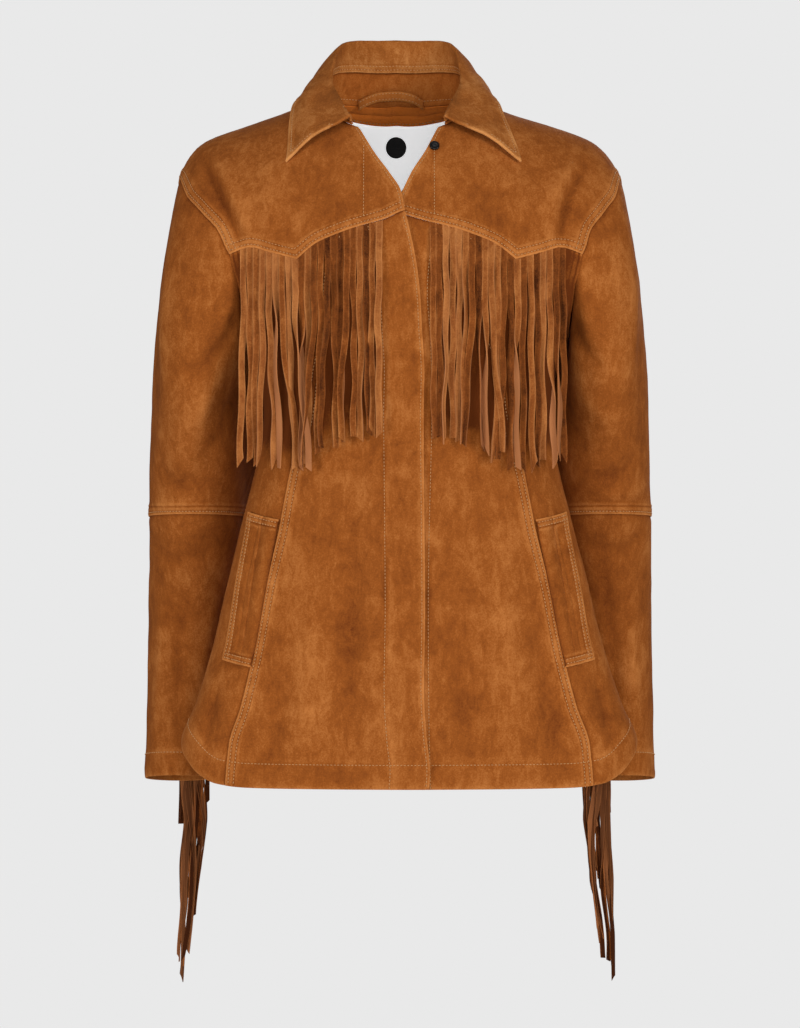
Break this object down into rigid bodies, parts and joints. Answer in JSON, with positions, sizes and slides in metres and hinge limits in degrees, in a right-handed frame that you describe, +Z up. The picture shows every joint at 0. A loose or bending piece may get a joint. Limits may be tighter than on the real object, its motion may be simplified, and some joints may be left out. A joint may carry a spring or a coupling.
{
  "type": "jacket",
  "caption": "Fitted suede jacket as worn and empty, with a fold-over collar, yokes trimmed with long fringe, slanted pocket welts and fringed sleeves.",
  "frame": {"origin": "between the wearer's shoulders at the height of the side of the neck, where the shoulders hold the jacket up", "axes": "+Z up, from the hem to the collar; the front faces -Y and the back +Y; +X towards the wearer's left"},
  "size_m": [0.517, 0.2868, 0.9632],
  "materials": {
    "suede": "brushed nap, rust brown",
    "suede_lining_side": "brushed nap, darker where it is shaded",
    "fringe": "cut suede strands, nap on one side and flesh on the other",
    "label": "woven, matt",
    "snap": "black enamel"
  },
  "bodies": {
    "root": {"back": "suede", "collar_fall": "suede", "collar_stand": "suede_lining_side", "fringe_front_left": "fringe", "fringe_front_right": "fringe", "fringe_sleeve_left": "fringe", "fringe_sleeve_right": "fringe", "front_left": "suede", "front_right": "suede", "hanger_loop": "suede_lining_side", "neck_facing": "suede_lining_side", "neck_label": "label", "pocket_welt_left": "suede", "pocket_welt_right": "suede", "side_front_left": "suede", "side_front_right": "suede", "sleeve_lower_left": "suede", "sleeve_lower_right": "suede", "sleeve_upper_left": "suede", "sleeve_upper_right": "suede", "snap": "snap", "yoke_left": "suede", "yoke_right": "suede"}
  },
  "joints": []
}
